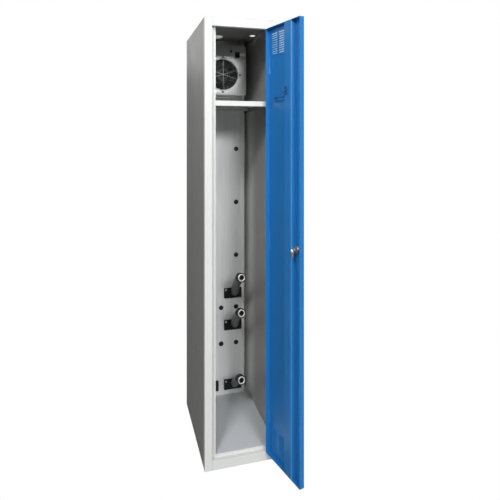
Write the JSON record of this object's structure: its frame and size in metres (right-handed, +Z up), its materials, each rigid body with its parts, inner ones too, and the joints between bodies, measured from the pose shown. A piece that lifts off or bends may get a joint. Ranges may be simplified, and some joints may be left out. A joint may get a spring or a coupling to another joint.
{
  "type": "drying_cabinet",
  "caption": "Tall narrow steel drying locker with one hinged blue door, a hat shelf, a fan and heater housing, a warm-air duct and four outlet nozzles for boots and gloves",
  "frame": {"origin": "centre of the carcass footprint, on the floor", "axes": "+Z up, -Y towards the front (door side), +X to the right seen from the front"},
  "size_m": [0.3252, 0.7357, 1.8],
  "materials": {
    "grey_paint": "satin",
    "blue_paint": "satin",
    "duct_steel": "satin",
    "housing_steel": "satin",
    "black_plastic": "matte",
    "dark_plastic": "matte",
    "black_rubber": "matte",
    "chrome_wire": "polished",
    "nickel": "satin",
    "aluminium": "satin",
    "heater_steel": "satin",
    "white_plastic": "matte"
  },
  "bodies": {
    "carcass": {"back_panel": "grey_paint", "base_plate": "grey_paint", "blind_plug_1": "black_plastic", "blind_plug_10": "black_plastic", "blind_plug_11": "black_plastic", "blind_plug_12": "black_plastic", "blind_plug_2": "black_plastic", "blind_plug_3": "black_plastic", "blind_plug_4": "black_plastic", "blind_plug_5": "black_plastic", "blind_plug_6": "black_plastic", "blind_plug_7": "black_plastic", "blind_plug_8": "black_plastic", "blind_plug_9": "black_plastic", "duct_cover": "duct_steel", "fan_frame": "black_plastic", "fan_guard": "chrome_wire", "fan_housing": "housing_steel", "fan_motor": "aluminium", "floor_panel": "grey_paint", "hat_shelf": "grey_paint", "head_rail": "grey_paint", "heater_fins": "heater_steel", "heater_frame": "heater_steel", "hinge_pin_1": "nickel", "hinge_pin_2": "nickel", "hinge_pin_3": "nickel", "housing_plate": "white_plastic", "indicator_lamp": "black_plastic", "inlet_grommet": "black_rubber", "left_side": "grey_paint", "nozzle_base_1": "black_plastic", "nozzle_base_2": "black_plastic", "nozzle_base_3": "black_plastic", "nozzle_base_4": "black_plastic", "nozzle_ring_1": "chrome_wire", "nozzle_ring_2": "chrome_wire", "nozzle_ring_3": "chrome_wire", "nozzle_ring_4": "chrome_wire", "nozzle_tube_1": "dark_plastic", "nozzle_tube_2": "dark_plastic", "nozzle_tube_3": "dark_plastic", "nozzle_tube_4": "dark_plastic", "right_side": "grey_paint", "roof_panel": "grey_paint", "sill_rail": "grey_paint", "switch_frame": "black_plastic", "switch_rocker": "black_plastic", "terminal_block": "white_plastic"},
    "door": {"door_panel": "blue_paint", "door_stiffener": "blue_paint", "towel_rail": "blue_paint", "door_hook": "blue_paint", "lock_body": "nickel", "lock_nut": "nickel"},
    "lock_rotor": {"lock_plug": "nickel", "lock_cam": "nickel", "cam_screw": "nickel"},
    "fan_rotor": {"fan_impeller": "dark_plastic"}
  },
  "joints": [
    {"name": "door_hinge", "type": "hinge", "parent": "carcass", "child": "door", "pos_m": [0.11925, -0.25, 0.9], "axis": [0, 0, 1], "range_deg": [-103.6, 6.4]},
    {"name": "lock_turn", "type": "hinge", "parent": "door", "child": "lock_rotor", "pos_m": [0.16716, -0.44804, 0.902], "axis": [-0.972, -0.2351, 0], "range_deg": [0, 90]},
    {"name": "fan_spin", "type": "hinge", "parent": "carcass", "child": "fan_rotor", "pos_m": [0, 0.12, 1.62], "axis": [0, 1, 0], "continuous": true}
  ]
}
